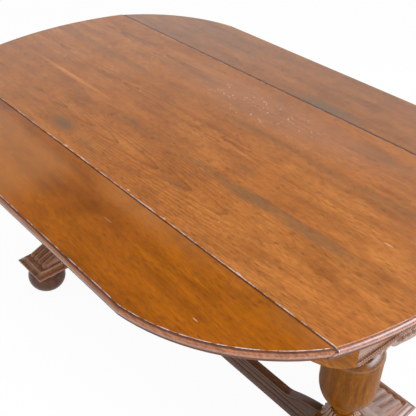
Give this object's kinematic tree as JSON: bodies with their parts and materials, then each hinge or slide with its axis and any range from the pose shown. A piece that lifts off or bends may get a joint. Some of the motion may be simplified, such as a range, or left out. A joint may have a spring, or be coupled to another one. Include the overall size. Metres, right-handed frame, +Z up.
{
  "type": "drop-leaf trestle table",
  "caption": "Drop-leaf dining table: bowed oak top, hinged leaves on rule joints, pull-out leaf supports, carved end aprons, turned cup columns, reeded feet on buns, low stretcher.",
  "frame": {"origin": "on the floor, under the middle of the top", "axes": "+X along the table, +Y across it to the north leaf, +Z up"},
  "size_m": [1.366, 0.91, 0.738],
  "materials": {
    "oak_top": "glossy polished oak, warm orange-brown",
    "oak_carved": "polished dark oak",
    "oak_plain": "plain unpolished oak",
    "hinge_brass": "dull brass",
    "screw_steel": "dull steel"
  },
  "bodies": {
    "frame": {"main_top": "oak_top", "end_apron_east": "oak_carved", "end_apron_west": "oak_carved", "side_rail_north": "oak_carved", "side_rail_south": "oak_carved", "column_east": "oak_carved", "column_west": "oak_carved", "foot_east": "oak_carved", "foot_west": "oak_carved", "bun_foot_ne": "oak_carved", "bun_foot_nw": "oak_carved", "bun_foot_se": "oak_carved", "bun_foot_sw": "oak_carved", "stretcher": "oak_carved", "corner_blocks": "oak_plain", "bearer_east": "oak_plain", "bearer_west": "oak_plain", "loper_guides": "oak_plain", "hinge_plates_north": "hinge_brass", "hinge_plates_south": "hinge_brass", "hinge_pins_north": "hinge_brass", "hinge_pins_south": "hinge_brass", "hinge_screws_main": "screw_steel", "bearer_screws": "screw_steel"},
    "leaf_north": {"leaf_north": "oak_top", "hinge_flaps_north": "hinge_brass", "hinge_screws_leaf_north": "screw_steel"},
    "leaf_south": {"leaf_south": "oak_top", "hinge_flaps_south": "hinge_brass", "hinge_screws_leaf_south": "screw_steel"},
    "loper_ne": {"loper_ne": "oak_plain", "stop_peg_ne": "oak_plain"},
    "loper_nw": {"loper_nw": "oak_plain", "stop_peg_nw": "oak_plain"},
    "loper_se": {"loper_se": "oak_plain", "stop_peg_se": "oak_plain"},
    "loper_sw": {"loper_sw": "oak_plain", "stop_peg_sw": "oak_plain"}
  },
  "joints": [
    {"name": "leaf_south_fold", "type": "hinge", "parent": "frame", "child": "leaf_south", "pos_m": [0, -0.262, 0.7215], "axis": [-1, 0, 0], "range_deg": [-90, 0]},
    {"name": "leaf_north_fold", "type": "hinge", "parent": "frame", "child": "leaf_north", "pos_m": [0, 0.262, 0.7215], "axis": [1, 0, 0], "range_deg": [-90, 0]},
    {"name": "loper_ne_slide", "type": "slide", "parent": "frame", "child": "loper_ne", "axis": [0, 1, 0], "range_m": [0, 0.128]},
    {"name": "loper_nw_slide", "type": "slide", "parent": "frame", "child": "loper_nw", "axis": [0, 1, 0], "range_m": [0, 0.128]},
    {"name": "loper_se_slide", "type": "slide", "parent": "frame", "child": "loper_se", "axis": [0, -1, 0], "range_m": [0, 0.128]},
    {"name": "loper_sw_slide", "type": "slide", "parent": "frame", "child": "loper_sw", "axis": [0, -1, 0], "range_m": [0, 0.128]}
  ]
}
